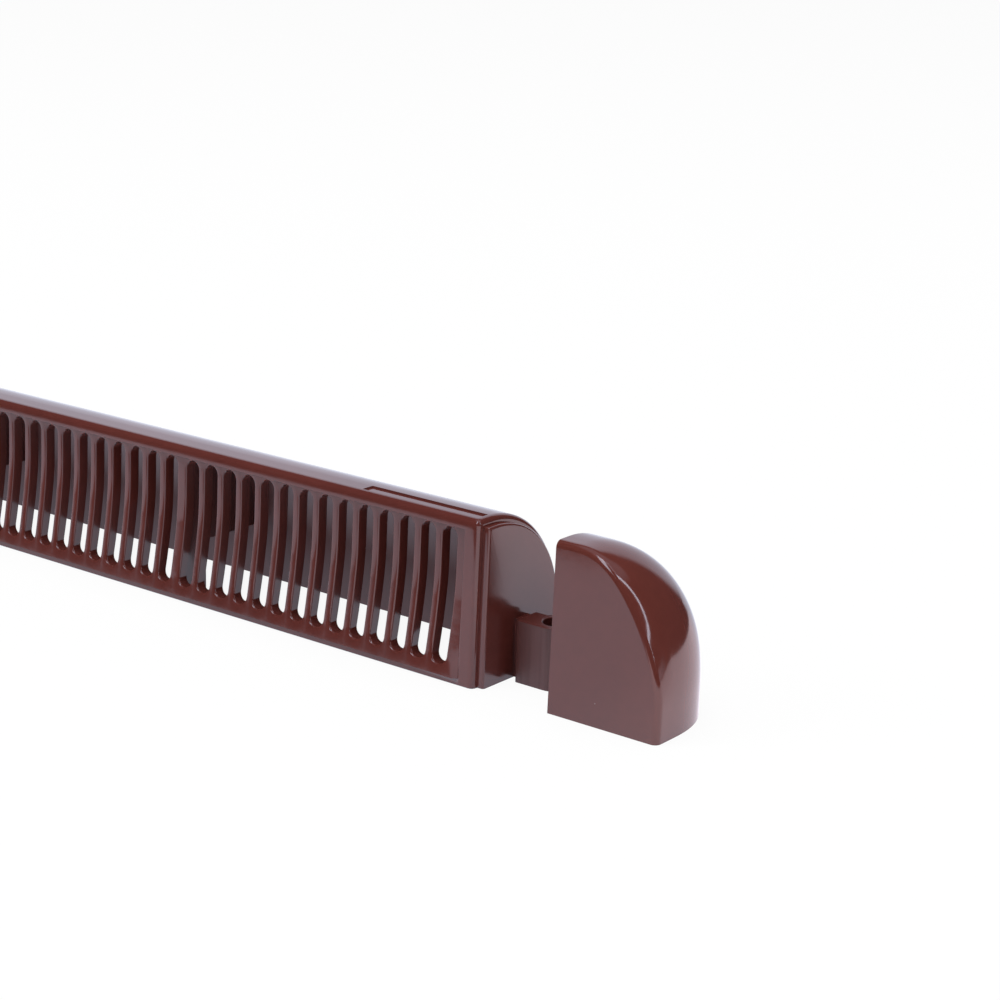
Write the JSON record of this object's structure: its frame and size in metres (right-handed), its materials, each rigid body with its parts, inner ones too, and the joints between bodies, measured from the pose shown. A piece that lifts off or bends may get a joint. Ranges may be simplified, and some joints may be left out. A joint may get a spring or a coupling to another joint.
{
  "type": "slotted trickle vent hood with end caps",
  "caption": "Glossy brown moulded trickle vent hood with a slotted face and screw lugs, open at the back, and two domed end caps drawn off its ends.",
  "frame": {"origin": "middle of the hood's length and depth, in the plane of its open back", "axes": "X runs along the vent, -Y is the slotted face, +Y the rounded side, +Z points away from the window frame that the back lies on"},
  "size_m": [0.3558, 0.0202, 0.0252],
  "materials": {
    "vent_plastic": "glossy dark chocolate brown injection-moulded plastic",
    "cap_plastic": "glossy dark chocolate brown injection-moulded plastic"
  },
  "bodies": {
    "root": {"vent_body": "vent_plastic", "end_cap_right": "cap_plastic", "end_cap_left": "cap_plastic"}
  },
  "joints": []
}
